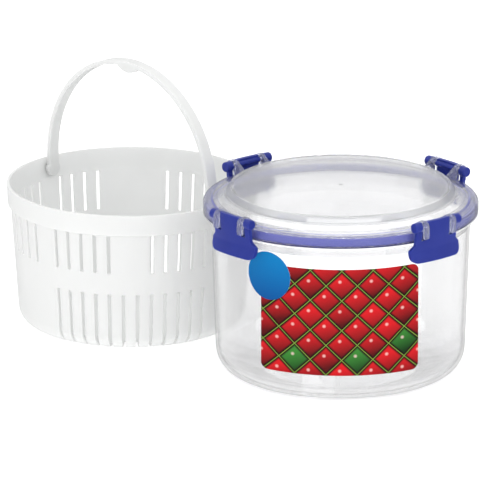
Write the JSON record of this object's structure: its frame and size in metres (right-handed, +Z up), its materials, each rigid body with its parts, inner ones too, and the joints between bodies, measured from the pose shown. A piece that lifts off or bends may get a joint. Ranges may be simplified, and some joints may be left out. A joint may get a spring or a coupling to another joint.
{
  "type": "food storage container",
  "caption": "Round clear food storage container with a domed clip-lock lid, soft seal, printed label and a slotted lift-out strainer with a swinging handle standing beside it.",
  "frame": {"origin": "centre of the container's base, at floor level", "axes": "+Z up, the label faces -Y, +X to the right as the label is seen"},
  "size_m": [0.2813, 0.2568, 0.161],
  "materials": {
    "clear_plastic": "clear gloss",
    "clip_plastic": "satin",
    "seal_rubber": "matte",
    "white_plastic": "satin",
    "label_film": "gloss print",
    "sticker_film": "gloss print"
  },
  "bodies": {
    "container": {"container_body": "clear_plastic", "front_label": "label_film", "round_sticker": "sticker_film"},
    "lid": {"lid": "clear_plastic", "seal_ring": "seal_rubber"},
    "clip_front_left": {"clip_front_left": "clip_plastic"},
    "clip_front_right": {"clip_front_right": "clip_plastic"},
    "clip_back_left": {"clip_back_left": "clip_plastic"},
    "clip_back_right": {"clip_back_right": "clip_plastic"},
    "strainer": {"strainer_basket": "white_plastic"},
    "handle": {"strainer_handle": "white_plastic"}
  },
  "joints": [
    {"name": "lid_lift", "type": "slide", "parent": "container", "child": "lid", "axis": [0, 0, 1], "range_m": [0, 0.045]},
    {"name": "clip_back_right_swing", "type": "hinge", "parent": "lid", "child": "clip_back_right", "pos_m": [0.06404, 0.05528, 0.1084], "axis": [0.6534, -0.757, 0], "range_deg": [0, 110]},
    {"name": "clip_back_left_swing", "type": "hinge", "parent": "lid", "child": "clip_back_left", "pos_m": [-0.05528, 0.06404, 0.1084], "axis": [0.757, 0.6534, 0], "range_deg": [0, 110]},
    {"name": "clip_front_left_swing", "type": "hinge", "parent": "lid", "child": "clip_front_left", "pos_m": [-0.06404, -0.05528, 0.1084], "axis": [-0.6534, 0.757, 0], "range_deg": [0, 110]},
    {"name": "clip_front_right_swing", "type": "hinge", "parent": "lid", "child": "clip_front_right", "pos_m": [0.05528, -0.06404, 0.1084], "axis": [-0.757, -0.6534, 0], "range_deg": [0, 110]},
    {"name": "strainer_slide", "type": "slide", "parent": "container", "child": "strainer", "axis": [-1, 0, 0], "range_m": [0, 0.15]},
    {"name": "handle_swing", "type": "hinge", "parent": "strainer", "child": "handle", "pos_m": [-0.12477, 0.10032, 0.08], "axis": [-0.6997, 0.7145, 0], "range_deg": [-68, 68]}
  ],
  "couplings": [
    {"joint": "clip_back_right_swing", "follows": "lid_lift", "rad_per_m": 42.66},
    {"joint": "clip_back_left_swing", "follows": "lid_lift", "rad_per_m": 42.66},
    {"joint": "clip_front_left_swing", "follows": "lid_lift", "rad_per_m": 42.66},
    {"joint": "clip_front_right_swing", "follows": "lid_lift", "rad_per_m": 42.66}
  ]
}
